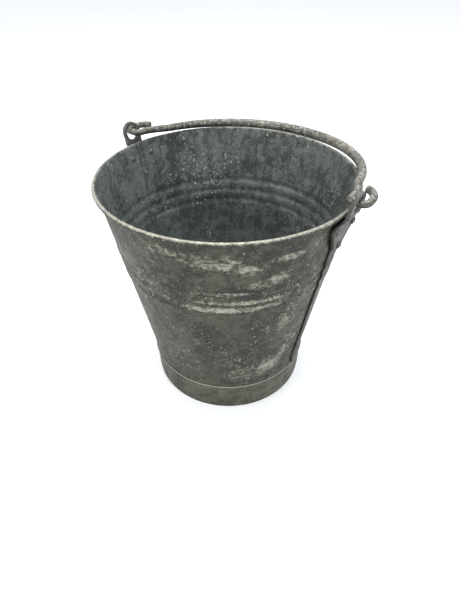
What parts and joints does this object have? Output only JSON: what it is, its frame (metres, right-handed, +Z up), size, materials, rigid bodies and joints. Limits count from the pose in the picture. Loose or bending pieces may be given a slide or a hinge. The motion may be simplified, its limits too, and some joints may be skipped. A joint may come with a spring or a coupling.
{
  "type": "bucket",
  "caption": "Weathered galvanised steel bucket with two folded side seams, a rolled rim, riveted cast ears and a loose swing bail",
  "frame": {"origin": "on the floor, at the centre of the foot band's lower edge; metres, +Z up", "axes": "+X runs through the two ears to ear_right, +Y is the side that the folded bail lies on, +Z is up"},
  "size_m": [0.3452, 0.3233, 0.3225],
  "materials": {
    "body_zinc": "mottled, dull, worn bright on its beads",
    "bottom_zinc": "dull and grimy",
    "foot_zinc": "dull, scuffed, greenish grey",
    "wire_steel": "plain drawn wire",
    "ear_iron": "matte, pitted",
    "rivet_steel": "dull",
    "bail_zinc": "speckled, worn"
  },
  "bodies": {
    "bucket": {"wall_front": "body_zinc", "wall_back": "body_zinc", "bottom": "bottom_zinc", "foot_band": "foot_zinc", "rim_wire": "wire_steel", "ear_right": "ear_iron", "ear_left": "ear_iron", "rivet_right_front": "rivet_steel", "rivet_right_back": "rivet_steel", "rivet_right_lower": "rivet_steel", "rivet_left_front": "rivet_steel", "rivet_left_back": "rivet_steel", "rivet_left_lower": "rivet_steel"},
    "bail": {"bail": "bail_zinc"}
  },
  "joints": [
    {"name": "bail_hinge", "type": "hinge", "parent": "bucket", "child": "bail", "pos_m": [0, 0, 0.3107], "axis": [1, 0, 0], "range_deg": [0, 187.79]}
  ]
}
